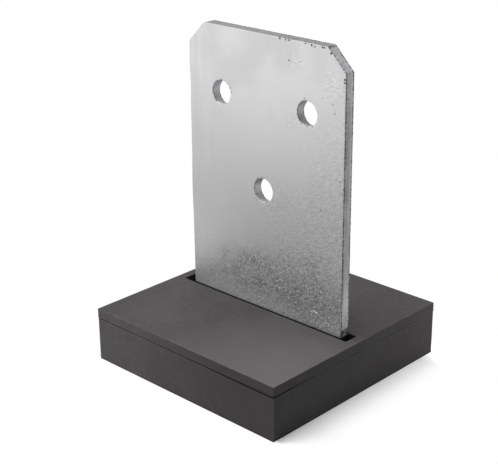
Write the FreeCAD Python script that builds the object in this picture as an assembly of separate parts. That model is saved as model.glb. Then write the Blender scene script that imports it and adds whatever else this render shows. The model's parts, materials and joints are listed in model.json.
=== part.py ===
"""Concealed post base: a galvanised knife plate, welded to an anchor flange, on a moulded standoff.

Millimetres. The origin is the centre of the underside, +Z is up, and the knife plate runs along X.
Lengths are driven by the values below: change one and everything that seats on it follows.
"""

import FreeCAD, Part

import math
import os

from FreeCAD import Vector

# Cover: the square moulded plate that the post end bears on
cover_side = 136.0
cover_thickness = 5.65
cover_corner_radius = 0.3
cover_edge_break = 0.15
cover_skin = 3.6

# Standoff: the open-topped moulded tray under the cover
standoff_height = 26.1
cover_overhang = 0.05
standoff_wall = 4.0
standoff_floor = 4.0
standoff_corner_radius = 0.45
pocket_corner_radius = 3.0
seam_bevel = 0.4
foot_bevel = 0.15

# Knife plate: stands in a saw cut up the middle of the post
plate_edge_margin = 11.75
plate_thickness = 6.5
plate_stand = 158.25
plate_shift = 1.5
plate_corner_cut = 12.3
plate_left_round = 5.5
plate_right_round = 1.2
plate_edge_break = 0.4

# Dowel holes through the knife plate: two above, one below on the centre line
dowel_hole_radius = 6.85
dowel_hole_pitch = 62.2
dowel_pattern_shift = 1.1
dowel_hole_from_top = 37.5
dowel_row_spacing = 49.7

# Slot in the cover, longer and wider than the knife plate that comes up through it
slot_end_clearance = 6.25
slot_side_clearance = 1.3
slot_corner_radius = 0.8
slot_guide_thickness = 2.4

# Anchor flange: the steel foot plate inside the standoff
flange_inset = 4.7
flange_thickness = 6.35
flange_corner_radius = 6.0
anchor_pitch = 73.0
anchor_hole_radius = 8.75
anchor_hole_slack = 2.0

# Fillet welds along both sides of the knife plate's foot
weld_leg = 5.0
weld_end_gap = 3.0
weld_crown = 0.5

# Ribs under the cover, which carry the post's load down to the flange
rib_thickness = 2.4
rib_pitch = 16.7
nut_well_radius = 22.5
weld_clearance = 1.2

# Locating lip and snap hooks of the cover, and the ribs that centre the flange
lip_thickness = 2.4
lip_depth = 6.0
lip_clearance = 0.3
hook_width = 14.0
hook_reach = 11.4
hook_barb = 0.9
hook_barb_height = 3.0
hook_slit = 1.0
hook_flex_gap = 3.0
hook_clearance = 0.2
locating_rib_width = 4.0
locating_rib_gap = 0.4
locating_rib_share = 0.8

# Shallow coring pockets in the underside
coring_depth = 1.8
coring_rib = 3.7
coring_border = 8.0
coring_boss = 5.0

# Sizes and levels that follow from the ones above
cover_level = standoff_height + cover_thickness
skin_level = cover_level - cover_skin
flange_level = standoff_floor + flange_thickness
standoff_side = cover_side - 2 * cover_overhang
cavity_side = standoff_side - 2 * standoff_wall
flange_side = cavity_side - 2 * flange_inset
lip_side = cavity_side - 2 * lip_clearance
lip_inner_side = lip_side - 2 * lip_thickness
plate_width = cover_side - 2 * plate_edge_margin
plate_top = cover_level + plate_stand
slot_length = plate_width + 2 * slot_end_clearance
slot_width = plate_thickness + 2 * slot_side_clearance
weld_top = flange_level + weld_leg + weld_clearance
weld_half_width = plate_thickness / 2 + weld_leg + weld_clearance
anchor_centres = [Vector(0, side * anchor_pitch / 2, 0) for side in (-1, 1)]
hook_level = standoff_height - hook_reach
overshoot = 1.0


def rounded_rectangle(length, width, radius, level, centre=Vector(0, 0, 0)):
    """Closed wire of a rectangle with round corners, flat at one level."""
    half_x = length / 2
    half_y = width / 2
    corners = [(1, 1, 0), (-1, 1, 90), (-1, -1, 180), (1, -1, 270)]
    arcs = []
    for sign_x, sign_y, start in corners:
        middle = centre + Vector(sign_x * (half_x - radius), sign_y * (half_y - radius), level)
        circle = Part.Circle(middle, Vector(0, 0, 1), radius)
        arcs.append(Part.Arc(circle, math.radians(start), math.radians(start + 90)).toShape())
    edges = []
    for arc, following in zip(arcs, arcs[1:] + arcs[:1]):
        edges.append(arc)
        edges.append(Part.LineSegment(arc.lastVertex().Point, following.firstVertex().Point).toShape())
    return Part.Wire(edges)


def prism(wire, height):
    """Solid raised from a flat wire."""
    return Part.Face(wire).extrude(Vector(0, 0, height))


def slab(length, width, low, high, centre_x=0.0, centre_y=0.0):
    """Square-cornered block between two levels."""
    corner = Vector(centre_x - length / 2, centre_y - width / 2, low)
    return Part.makeBox(length, width, high - low, corner)


def post(radius, low, high, centre):
    """Upright cylinder between two levels."""
    return Part.makeCylinder(radius, high - low, centre + Vector(0, 0, low))


def edges_at(shape, level):
    """Edges of a shape that lie flat at one level."""
    found = []
    for edge in shape.Edges:
        if all(abs(vertex.Z - level) < 1e-6 for vertex in edge.Vertexes):
            found.append(edge)
    return found


def joined(shapes):
    """One solid from touching or overlapping ones, with its flat faces merged."""
    return shapes[0].multiFuse(shapes[1:]).removeSplitter()


def rib_places():
    """Distances of the ribs from the cover's centre lines, on one side."""
    places = []
    place = 1.5 * rib_pitch
    while place + rib_pitch / 2 < lip_inner_side / 2:
        places.append(place)
        place += rib_pitch
    return places


def on_plate_face(edge):
    """Whether an edge bounds the front or back face of the knife plate, clear of its welded foot."""
    points = edge.discretize(3)
    in_face = all(abs(abs(point.y) - plate_thickness / 2) < 1e-6 for point in points)
    same_side = abs(points[0].y - points[-1].y) < 1e-6
    return in_face and same_side and max(point.z for point in points) > flange_level + overshoot


def top_corners(plate, side):
    """Edges through the thickness at one cut-off top corner: -1 for the left one, 1 for the right."""
    found = []
    for edge in plate.Edges:
        low, high = edge.Vertexes[0].Point, edge.Vertexes[-1].Point
        through = abs(low.x - high.x) < 1e-6 and abs(low.z - high.z) < 1e-6
        if through and low.z > cover_level and (low.x - plate_shift) * side > 0:
            found.append(edge)
    return found


def make_knife_plate():
    """Upright plate with its two top corners cut off, the left one dressed rounder, and dowel holes."""
    left = plate_shift - plate_width / 2
    right = plate_shift + plate_width / 2
    cut = plate_corner_cut
    outline = [
        (left, flange_level),
        (right, flange_level),
        (right, plate_top - cut),
        (right - cut, plate_top),
        (left + cut, plate_top),
        (left, plate_top - cut),
    ]
    face_y = -plate_thickness / 2
    points = [Vector(x, face_y, z) for x, z in outline]
    plate = Part.Face(Part.makePolygon(points + points[:1])).extrude(Vector(0, plate_thickness, 0))
    plate = plate.makeFillet(plate_left_round, top_corners(plate, -1))
    plate = plate.makeFillet(plate_right_round, top_corners(plate, 1))
    upper_level = plate_top - dowel_hole_from_top
    lower_level = upper_level - dowel_row_spacing
    places = [
        (dowel_pattern_shift - dowel_hole_pitch / 2, upper_level),
        (dowel_pattern_shift + dowel_hole_pitch / 2, upper_level),
        (dowel_pattern_shift, lower_level),
    ]
    for x, z in places:
        start = Vector(x, face_y - overshoot, z)
        drill = Part.makeCylinder(
            dowel_hole_radius, plate_thickness + 2 * overshoot, start, Vector(0, 1, 0)
        )
        plate = plate.cut(drill)
    return plate.makeChamfer(plate_edge_break, [edge for edge in plate.Edges if on_plate_face(edge)])


def make_anchor_flange():
    """Square foot plate with one anchor hole each side of the knife plate."""
    flange = prism(
        rounded_rectangle(flange_side, flange_side, flange_corner_radius, standoff_floor),
        flange_thickness,
    )
    for centre in anchor_centres:
        flange = flange.cut(post(anchor_hole_radius, 0, flange_level + overshoot, centre))
    return flange


def make_weld(side):
    """Fillet weld bead along one side of the knife plate, with a slightly crowned face."""
    start_x = plate_shift - plate_width / 2 + weld_end_gap
    root_y = side * plate_thickness / 2
    toe_y = root_y + side * weld_leg
    root = Vector(start_x, root_y, flange_level)
    toe = Vector(start_x, toe_y, flange_level)
    top = Vector(start_x, root_y, flange_level + weld_leg)
    bulge = Vector(0, side, 1).normalize() * weld_crown
    crown = Vector(start_x, (root_y + toe_y) / 2, flange_level + weld_leg / 2) + bulge
    section = Part.Wire(
        [
            Part.LineSegment(root, toe).toShape(),
            Part.Arc(toe, crown, top).toShape(),
            Part.LineSegment(top, root).toShape(),
        ]
    )
    return Part.Face(section).extrude(Vector(plate_width - 2 * weld_end_gap, 0, 0))


def make_coring():
    """Shallow square pockets in a regular grid over the underside, clear of the anchor holes."""
    pocket_side = rib_pitch - coring_rib
    reach = standoff_side / 2 - coring_border
    count = int((2 * reach + coring_rib) // rib_pitch)
    first = -(count - 1) / 2 * rib_pitch
    boss = anchor_hole_radius + anchor_hole_slack + coring_boss
    pockets = []
    for column in range(count):
        for row in range(count):
            x = first + column * rib_pitch
            y = first + row * rib_pitch
            pocket = slab(pocket_side, pocket_side, -overshoot, coring_depth, x, y)
            if all(pocket.distToShape(post(boss, -overshoot, 0, c))[0] > 0 for c in anchor_centres):
                pockets.append(pocket)
    return pockets


def make_locating_ribs():
    """Short upright ribs inside the walls, two to a side, that centre the flange."""
    low = standoff_floor
    high = standoff_floor + locating_rib_share * flange_thickness
    reach = flange_inset - locating_rib_gap + overshoot
    middle = cavity_side / 2 + overshoot - reach / 2
    ribs = []
    for side in (-1, 1):
        for along in (-1, 1):
            offset = along * anchor_pitch / 2
            ribs.append(slab(reach, locating_rib_width, low, high, side * middle, offset))
            ribs.append(slab(locating_rib_width, reach, low, high, offset, side * middle))
    return ribs


def make_snap_windows():
    """Blind recesses inside two walls that the cover's hooks catch in."""
    depth = hook_barb + hook_clearance
    low = hook_level - hook_clearance
    high = hook_level + hook_barb_height + hook_clearance
    width = hook_width + 2 * hook_slit
    windows = []
    for side in (-1, 1):
        for centre in anchor_centres:
            middle = side * (cavity_side / 2 + depth / 2 - overshoot / 2)
            windows.append(slab(depth + overshoot, width, low, high, middle, centre.y))
    return windows


def make_standoff():
    """Moulded tray: outer block, hollowed from above, with anchor holes through its floor."""
    block = prism(
        rounded_rectangle(standoff_side, standoff_side, standoff_corner_radius, 0), standoff_height
    )
    block = block.makeChamfer(seam_bevel, edges_at(block, standoff_height))
    block = block.makeChamfer(foot_bevel, edges_at(block, 0))
    cavity = prism(
        rounded_rectangle(cavity_side, cavity_side, pocket_corner_radius, standoff_floor),
        standoff_height,
    )
    tray = joined([block.cut(cavity)] + make_locating_ribs())
    floor_radius = anchor_hole_radius + anchor_hole_slack
    holes = [post(floor_radius, -overshoot, standoff_floor + overshoot, c) for c in anchor_centres]
    return tray.cut(holes + make_coring() + make_snap_windows())


def make_cover_ribs():
    """Grid of ribs, the ring round each anchor nut, and the two guides beside the slot."""
    high = skin_level + overshoot
    inside = lip_inner_side + lip_thickness
    first = weld_half_width + rib_thickness / 2
    guide = slot_width / 2 + slot_guide_thickness / 2
    bars = []
    for side in (-1, 1):
        for place in rib_places():
            bars.append(slab(rib_thickness, inside, flange_level, high, side * place, 0))
        for place in [first] + rib_places():
            bars.append(slab(inside, rib_thickness, flange_level, high, 0, side * place))
        bars.append(slab(inside, slot_guide_thickness, flange_level, high, 0, side * guide))
    rings = [post(nut_well_radius + rib_thickness, flange_level, high, c) for c in anchor_centres]
    wells = [post(nut_well_radius, flange_level - overshoot, skin_level, c) for c in anchor_centres]
    return joined(bars + rings).cut(wells)


def make_cover_lip():
    """Locating lip under the cover, a ring that drops just inside the standoff's walls."""
    low = standoff_height - lip_depth
    depth = skin_level + overshoot - low
    outer = rounded_rectangle(lip_side, lip_side, pocket_corner_radius, low)
    inner = rounded_rectangle(lip_inner_side, lip_inner_side, lip_thickness, low)
    return prism(outer, depth).cut(prism(inner, depth))


def hook_blocks(width, low, high, outward, inward):
    """One block at each snap hook, from its outer face some way outwards and inwards."""
    blocks = []
    for side in (-1, 1):
        for centre in anchor_centres:
            middle = side * (lip_side / 2 + (outward - inward) / 2)
            blocks.append(slab(outward + inward, width, low, high, middle, centre.y))
    return blocks


def make_hooks():
    """Four sprung tongues that hang from the cover, each with a barb on its outer face."""
    hooks = hook_blocks(hook_width, hook_level, skin_level + overshoot, 0, lip_thickness)
    barbs = []
    for side in (-1, 1):
        for centre in anchor_centres:
            face = side * lip_side / 2
            back = side * (lip_side / 2 - lip_thickness / 2)
            tip = side * (lip_side / 2 + hook_barb)
            top = hook_level + hook_barb_height
            y = centre.y - hook_width / 2
            corners = [(back, hook_level), (face, hook_level), (tip, top), (back, top)]
            points = [Vector(x, y, z) for x, z in corners]
            section = Part.Face(Part.makePolygon(points + points[:1]))
            barbs.append(section.extrude(Vector(0, hook_width, 0)))
    return hooks + barbs


def make_cover():
    """Moulded cover: top plate, hollowed from below, with its lip, ribs, hooks and slot."""
    plate = prism(
        rounded_rectangle(cover_side, cover_side, cover_corner_radius, standoff_height),
        cover_thickness,
    )
    plate = plate.makeChamfer(cover_edge_break, edges_at(plate, cover_level))
    plate = plate.makeChamfer(cover_edge_break, edges_at(plate, standoff_height))
    hollow = prism(
        rounded_rectangle(lip_inner_side, lip_inner_side, lip_thickness, standoff_height - overshoot),
        skin_level - standoff_height + overshoot,
    )
    inside = prism(
        rounded_rectangle(lip_side, lip_side, pocket_corner_radius, 0), cover_level - overshoot
    )
    ribs = make_cover_ribs().common(inside)
    under = joined([make_cover_lip(), ribs])
    weld_room = slab(cover_side, 2 * weld_half_width, 0, weld_top)
    lip_gap = slab(cover_side, slot_width, 0, skin_level)
    flex_room = hook_blocks(
        hook_width + 2 * hook_slit, 0, skin_level, overshoot, lip_thickness + hook_flex_gap
    )
    under = under.cut([weld_room, lip_gap] + flex_room)
    cover = joined([plate.cut(hollow), under] + make_hooks())
    slot = prism(
        rounded_rectangle(slot_length, slot_width, slot_corner_radius, standoff_height - overshoot),
        cover_thickness + 2 * overshoot,
    )
    return cover.cut(slot)


def build():
    """Every piece by name."""
    return {
        "knife_plate": make_knife_plate(),
        "anchor_flange": make_anchor_flange(),
        "weld_front": make_weld(-1),
        "weld_rear": make_weld(1),
        "standoff_body": make_standoff(),
        "cover_plate": make_cover(),
    }


os.makedirs("parts", exist_ok=True)
for name, shape in build().items():
    solids = shape.Solids
    if not shape.isValid():
        print("not valid:", name)
    print(name, "solids", len(solids), "faces", len(shape.Faces), "volume", round(shape.Volume, 1))
    if len(solids) == 1:
        shape = solids[0]
    shape.exportStep(os.path.join("parts", name + ".step"))
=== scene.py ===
"""Concealed post base: a hot-dip galvanised knife plate standing in a black moulded standoff.

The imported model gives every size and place. This file gives the pieces their finish: the zinc skin
of the steel, the fine moulded grain of the standoff, and a plain white studio to see them in.
"""

import json
import math
from types import SimpleNamespace

import bpy
import numpy as np
from mathutils import Matrix, Vector, kdtree, noise
from mathutils.geometry import delaunay_2d_cdt


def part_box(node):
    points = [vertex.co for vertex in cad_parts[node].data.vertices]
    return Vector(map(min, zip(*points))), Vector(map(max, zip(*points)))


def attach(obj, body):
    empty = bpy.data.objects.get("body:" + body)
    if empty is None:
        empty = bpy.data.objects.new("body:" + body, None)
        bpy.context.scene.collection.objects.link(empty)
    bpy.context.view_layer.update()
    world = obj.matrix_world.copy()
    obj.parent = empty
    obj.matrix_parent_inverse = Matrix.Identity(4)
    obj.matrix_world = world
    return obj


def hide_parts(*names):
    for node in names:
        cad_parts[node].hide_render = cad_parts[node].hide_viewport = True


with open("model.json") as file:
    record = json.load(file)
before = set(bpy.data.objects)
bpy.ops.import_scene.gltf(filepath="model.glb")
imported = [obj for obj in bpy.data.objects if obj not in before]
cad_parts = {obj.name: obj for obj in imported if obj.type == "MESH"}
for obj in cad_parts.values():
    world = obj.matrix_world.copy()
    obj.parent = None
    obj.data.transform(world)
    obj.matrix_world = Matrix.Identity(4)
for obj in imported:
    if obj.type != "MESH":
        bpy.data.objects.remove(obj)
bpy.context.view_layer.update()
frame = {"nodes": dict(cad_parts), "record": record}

bl_info = {
    "name": "Concealed post base",
    "version": (1, 0, 0),
    "blender": (4, 5, 0),
    "location": "3D View > Sidebar > Post base",
    "description": "Finishes a knife-plate post base and sets up its studio",
    "category": "Object",
}

MM = 0.001
IMAGE_WIDTH = 498
SENSOR_WIDTH = 36.0
BODY = "root"

# Two nodes that are used often, and then kinds that have their output and settings with them. Inputs
# go by number where their names repeat. A range has the value as 0, where it starts and ends as 1 and
# 2, and what it gives there as 3 and 4. A mix has the share as 0, and its numbers as 2 and 3. A tint
# and a shade have the share as 0, and their colours as 6 and 7
MATH = "ShaderNodeMath"
CELLS = "ShaderNodeTexVoronoi"
SUM = (MATH, 0, {"operation": "ADD"})
TIMES = (MATH, 0, {"operation": "MULTIPLY"})
TIMES_PLUS = (MATH, 0, {"operation": "MULTIPLY_ADD"})
SMALLER = (MATH, 0, {"operation": "MINIMUM"})
LARGER = (MATH, 0, {"operation": "MAXIMUM"})
NOISE = ("ShaderNodeTexNoise", "Fac", {})
RANGE = ("ShaderNodeMapRange", 0, {})
SOFT_RANGE = ("ShaderNodeMapRange", 0, {"interpolation_type": "SMOOTHSTEP"})
MIX = ("ShaderNodeMix", 0, {})
TINT = ("ShaderNodeMix", 2, {"data_type": "RGBA"})
SHADE = ("ShaderNodeMix", 2, {"data_type": "RGBA", "blend_type": "MULTIPLY"})

# A rim's rounded edges have this many steps each, and the wall between them has rows of points at
# these shares of its width. The last value is the fewest points round a hole
ARC_STEPS = 3
WALL_ROWS = (0.05, 0.14, 0.5, 0.86, 0.95)
HOLE_POINTS = 24

# How near a point of the face may lie to a rim, and one in a pit to the last points made, as shares
# of their spacing, and how many of those last points are looked at
RIM_CLEARANCE = 0.62
PIT_CLEARANCE = 0.6
LAST_POINTS = 400

# Pits in the zinc of the front face: x, z and radius in millimetres, and how dark they are
FRONT_PITS = [
    (19.6, 178.6, 0.55, 0.75), (27.4, 179.0, 0.5, 0.5), (32.3, 144.7, 0.45, 0.4), (13.1, 189.2, 0.6, 1.0),
    (17.2, 189.2, 0.5, 0.9), (19.5, 189.1, 0.55, 1.0), (30.6, 189.1, 0.5, 0.9), (34.8, 188.9, 0.6, 1.0),
    (36.9, 188.4, 0.5, 0.8), (41.9, 189.0, 0.55, 0.9), (43.2, 188.9, 0.5, 1.0), (47.6, 186.6, 0.6, 1.0),
    (56.9, 174.8, 0.6, 1.0), (56.9, 173.2, 0.6, 0.9), (22.6, 176.6, 0.4, 0.35), (25.0, 181.4, 0.4, 0.3),
]

# A pit's slope reaches this many times its radius. Its points' spacing and its depth are in millimetres
PIT_REACH = 1.8
PIT_STEP = 0.28
PIT_DEPTH = 0.1

# Stretches of the top edge that dross lines, as x from and to in millimetres
TOP_DROSS = [(11, 24), (29, 46)]

# Patches where the zinc is pebbled: x, z and reach in millimetres
PEBBLED_PATCHES = [(23, 179, 9), (21, 146, 7), (-36, 165, 5), (50, 170, 14), (44, 120, 22), (10, 98, 26)]

# Swells of the left edge, which was cut a little unevenly: height, reach and depth in millimetres
LEFT_SWELLS = [(92.0, 24.0, 0.5), (152.0, 12.0, -0.3)]

# Widths in millimetres: the sides of the plate with their cut corners, the left edge's swells, the
# rim of a hole on the faces, and the darkening of the right edge above the slot
SIDE_ZONE = 13
SWELL_ZONE = 12
HOLE_ZONE = 3
SLOT_DARK_ZONE = 7

# Unevenness of the zinc, as millimetres of one repeat: its waves, its pebbles, the grit and the
# streaks of the dross along its edges, and the darkening above the slot
WAVES, PEBBLES, GRIT, STREAKS, SLOT_DARK_REPEAT = 26, 2.6, 0.85, 5, 1.6

# What the plate's mesh records at each point for its finish
MARKS = ("cut_edge", "hole_foot", "dross", "peel", "pitting")

# Patterns in the zinc's colour: millimetres of one repeat, detail and roughness
ZINC_PATTERNS = {
    "clouds": (22, 4.0, 0.5), "mottle": (10, 6.0, 0.6), "crumbs": (1.7, 5.0, 0.7), "pebble": (2.4, 2.0, 0.5),
    "fine": (0.8, 3.0, 0.5), "grit": (1.2, 2.0, 0.8),
}

# Runs are drawn out upright, and strokes along a slant: stretches, and the slant in degrees
RUN_STRETCH = 10
STROKE_STRETCH = 3.2
STROKE_SLANT = -26

# Beads of zinc: heights above the cover in millimetres of the strip that holds them, where they end
# and where they lie densest, the strip's margin, the seed of each face, a bead's height as a share
# of its width, and the smallest bead as a share of the largest
BEAD_STRIP, BEAD_END, BEAD_FOOT, BEAD_MARGIN = 60, 48, 24, 1
BEAD_SEEDS = {"front": 7, "rear": 19}
BEAD_FLATNESS = 0.45
BEAD_SMALLEST = 0.4

# A thin sliver of zinc stuck low on the front face, as x and z in millimetres along its bend
ZINC_SLIVER = [(36.6, 41.7), (39.6, 41.8), (41.6, 41.0), (43.4, 39.4)]

# Weld: height in millimetres and steps of its crowned face, its ripple's depth as a share of its
# size, the ripple's steps, and how many millimetres a bead may stand out of the plain weld's box
CROWN = 0.35
CROWN_STEPS = 8
RIPPLE_DEPTH = 0.12
RIPPLE_STEPS = 8
WELD_SPARE = 0.6

# Lamps: name, kind, place, target, the setting of its power, and its size
LAMPS = [
    ("key_light", "SUN", (-0.36, -0.15, 1.06), (0.0, 0.0, 0.06), "key_strength", {"angle": 0.55}),
    ("overhead_spot", "SPOT", (0.055, -0.055, 0.9), (0.055, -0.055, 0.0), "overhead_watts",
     {"spot_size": 0.42, "spot_blend": 1.0, "shadow_soft_size": 0.08}),
    ("corner_spot", "SPOT", (0.085, -0.085, 0.5), (0.085, -0.085, 0.0), "corner_watts",
     {"spot_size": 0.5, "spot_blend": 1.0, "shadow_soft_size": 0.05}),
    ("rear_box", "AREA", (-0.45, 0.5, 0.5), (0.0, 0.0, 0.03), "rear_watts", {"shape": "SQUARE", "size": 0.4}),
    ("front_box", "AREA", (-0.75, -0.85, 0.12), (0.0, 0.0, 0.09), "front_watts",
     {"shape": "SQUARE", "size": 0.5}),
    ("left_spot", "SPOT", (0.10, -0.48, 0.06), (-0.10, -0.068, 0.012), "left_watts",
     {"spot_size": 0.55, "spot_blend": 1.0, "shadow_soft_size": 0.04}),
    ("right_box", "AREA", (0.16, 0.12, 0.03), (0.0, 0.12, 0.03), "right_watts",
     {"shape": "SQUARE", "size": 0.05}),
]


def linear(hex_colour):
    """An sRGB hex colour as the linear red, green and blue that shaders work in."""
    channels = [int(hex_colour[i : i + 2], 16) / 255 for i in (0, 2, 4)]
    return [c / 12.92 if c <= 0.04045 else ((c + 0.055) / 1.055) ** 2.4 for c in channels]


def per(millimetres):
    """Pattern scale that gives one repeat in this many millimetres."""
    return 1.0 / (millimetres * MM)


def put(tree, kind, inputs=None, out=None, **settings):
    """Adds one node with its settings and links. Gives the node, or the output asked for.

    The kind is a node's name, or one of the kinds above that have their output and settings with
    them. An input is given a value, or the socket that feeds it.
    """
    if isinstance(kind, tuple):
        kind, out, settings = kind
    node = tree.nodes.new(kind)
    for name, value in settings.items():
        setattr(node, name, value)
    for key, value in (inputs or {}).items():
        socket = node.inputs[key]
        if isinstance(value, bpy.types.NodeSocket):
            tree.links.new(value, socket)
        elif socket.type == "RGBA" and len(value) == 3:
            socket.default_value = [*value, 1.0]
        else:
            socket.default_value = value
    return node if out is None else node.outputs[out]


def length_setting(name, description, millimetres):
    """A length that a user can change."""
    return bpy.props.FloatProperty(
        name=name, description=description, default=millimetres * MM, unit="LENGTH",
    )


def angle_setting(name, description, degrees):
    """An angle that a user can change."""
    return bpy.props.FloatProperty(
        name=name, description=description, default=math.radians(degrees), subtype="ANGLE",
    )


def power_setting(name, description, watts):
    """The power of a lamp, which a user can change."""
    return bpy.props.FloatProperty(name=name, description=description, default=watts, unit="POWER")


def level_setting(name, description, level):
    """A level of light, or another amount from 0 up, that a user can change."""
    return bpy.props.FloatProperty(name=name, description=description, default=level, min=0.0)


def colour_setting(name, description, hex_colour):
    """A colour that a user can change."""
    return bpy.props.FloatVectorProperty(
        name=name, description=description, default=linear(hex_colour),
        size=3, subtype="COLOR", min=0.0, max=1.0,
    )


class PlateSettings(bpy.types.PropertyGroup):
    """Sizes and colours of the galvanised steel."""

    mesh_step: length_setting("Mesh step", "Spacing of the points over the plate's faces", 1.0)
    rim_step: length_setting("Rim step", "Spacing of the points along the plate's edges", 0.42)
    hole_flare: length_setting("Hole flare", "How much wider the foot of each hole is at the rear face", 1.3)
    corner_cut: length_setting("Corner cut", "How much of each top corner is cut off, along both edges", 12.3)
    left_round: length_setting("Left rounding", "Radius of the dressed corners at the top left", 5.5)
    right_round: length_setting("Right rounding", "Radius of the outline's other corners", 1.2)
    edge_rounding: length_setting("Edge rounding", "Radius that the zinc gives the plate's edges", 0.22)
    zinc_wave: length_setting("Zinc waviness", "How far the drained zinc stands in and out of flat", 0.05)
    peel_depth: length_setting("Peel", "Depth of the fine pebbling where the zinc froze slowly", 0.03)
    nick_depth: length_setting("Edge nicks", "Depth of the small nicks along the cut edges", 0.3)
    nodule_size: length_setting("Largest nodule", "Radius of the largest bead of zinc on the faces", 0.3)
    nodule_density: bpy.props.FloatProperty(
        name="Nodule density", description="Beads of zinc for each square metre of the foot",
        default=240000.0,
    )
    sliver_width: length_setting("Sliver", "Radius of the sliver of zinc stuck on the front face", 0.15)
    ripple_pitch: length_setting("Weld ripple", "Distance from one ripple of the weld to the next", 2.2)
    zinc: colour_setting("Zinc", "Clean drained zinc", "D6D6D6")
    zinc_dull: colour_setting("Dull zinc", "Duller grey of the slowly frozen patches", "D0D0D0")
    # Painted reflection: the low zinc's darker grey stands in for the black cover mirrored in the plate's
    # lower half
    zinc_low_reflection: colour_setting(
        "Low zinc", "Zinc of the lower half, which left the bath last and is duller", "B3B3B3",
    )
    zinc_foot_pale: colour_setting(
        "Pale foot zinc", "Paler grains of the mottle near the foot of the plate", "B4B4B4",
    )
    zinc_foot: colour_setting("Foot zinc", "Darker grains of the mottle near the foot of the plate", "828282")
    zinc_sheared: colour_setting("Sheared edge", "Duller grey of the edges that were sheared last", "777777")
    zinc_cut: colour_setting("Cut edge", "Grey of the sheared edges and the holes' walls", "BEBEC0")
    # Painted glints: the bright speck colour stands in for light caught by single grains of the zinc
    zinc_glint: colour_setting(
        "Bright specks", "Specks of zinc that froze bright near the foot of the plate", "F4F4F4",
    )
    zinc_bead: colour_setting("Bright beads", "Beads of zinc that froze bright on the faces", "E0E0E0")
    # The dross colour also paints the shadow line where the plate goes down into the slot
    dross: colour_setting("Dross", "Dark specks caught in nicks and pits", "333334")


class StandoffSettings(bpy.types.PropertyGroup):
    """Colours and grain of the two black mouldings."""

    grain: length_setting("Grain", "Width of the mould's spark-eroded grain", 0.7)
    black: colour_setting("Black", "Glass-filled black moulding", "353334")
    black_pale: colour_setting("Pale black", "Places where glass fibre shows at the skin", "3E3C3D")
    # Painted sheen: this paler black stands in for light glancing off the cover near its front corner
    black_painted_sheen: colour_setting(
        "Handled black", "Cover's front corner, where handling has paled the skin", "494748",
    )
    # Painted light: this paler black paints the edges' highlights and fills the seam's groove
    black_painted_light: colour_setting("Worn black", "Rubbed edges, where the grain is polished", "5A5859")
    # Painted shade: this near black darkens the groove at the seam and the tray's foot
    seam_and_foot_shade: colour_setting("Dirt", "Dirt in the groove at the seam and at the tray's foot", "0C0C0C")


class StudioSettings(bpy.types.PropertyGroup):
    """Camera and light."""

    azimuth: angle_setting("Azimuth", "Camera's angle round the part, from straight in front", 43.783)
    elevation: angle_setting("Elevation", "Camera's angle above level", 21.846)
    roll: angle_setting("Roll", "Camera's tilt about its own line of sight", -0.492)
    distance: length_setting("Distance", "From the camera to the point it looks at", 685.75)
    aim: bpy.props.FloatVectorProperty(
        name="Aim", description="Point that the camera looks at",
        default=(-5.790 * MM, -7.693 * MM, 77.738 * MM), size=3, unit="LENGTH",
    )
    focal_pixels: bpy.props.FloatProperty(
        name="Focal length", description="In pixels of the finished image", default=1232.2,
    )
    floor: colour_setting("Floor", "White paper sweep", "B0B0B0")
    lift: level_setting("Paper lift", "Light through the paper, seen under the part's shadow too", 0.165)
    rear_lift: level_setting("Rear lift", "Light through the paper beside the part's rear corner", 0.49)
    fade_start: length_setting("Fade start", "Distance from the part where the paper starts to go white", 1.0)
    fade_end: length_setting(
        "Fade end", "Distance from the part's front corner where the paper is plain white", 40.0,
    )
    rear_fade: length_setting(
        "Rear fade", "Distance from the part's rear corner where the paper is plain white", 24.0,
    )
    key_strength: level_setting(
        "Key light", "Broad soft light from above, front left, watts per square metre", 3.5,
    )
    overhead_watts: power_setting("Overhead spot", "Soft spot from straight above the front corner", 15.0)
    corner_watts: power_setting("Corner spot", "Smaller soft spot over the cover's front corner", 2.4)
    rear_watts: power_setting("Rear box", "Wide soft box behind the part, which glances off the cover", 1.0)
    front_watts: power_setting("Front box", "Wide soft box low at the front left, mirrored by the plate", 2.0)
    left_watts: power_setting("Left spot", "Soft spot on the tray's left end", 9.2)
    right_watts: power_setting("Right box", "Small soft box low beside the rear right end", 0.075)
    sky: level_setting("Room light", "Even light from the room", 0.12)
    mirrored_room: level_setting("Mirrored room", "How bright the room is in reflections", 0.45)
    mirrored_paper: level_setting("Mirrored paper", "How bright the white paper is in reflections", 1.0)


def bores():
    """The plate's holes, as the record states them: centre x, centre z and radius."""
    return [
        (mount["pos_m"][0], mount["pos_m"][2], mount["dims"]["r_mm"] * MM)
        for mount in frame["record"]["mounts"] if mount["kind"] == "bore"
    ]


def plate_rings(settings):
    """The knife plate's outline and holes as closed rings: (x, z) points and their outward normals."""
    low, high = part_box("knife_plate")
    cut = settings.corner_cut
    left, right = settings.left_round, settings.right_round
    corners = [
        (low.x, low.z, right), (high.x, low.z, right), (high.x, high.z - cut, right),
        (high.x - cut, high.z, right), (low.x + cut, high.z, left), (low.x, high.z - cut, left),
    ]
    holes = [hole_ring(np.array([x, z]), radius, settings.rim_step) for x, z, radius in bores()]
    return [rounded_ring(corners, settings.rim_step)] + holes


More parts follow.
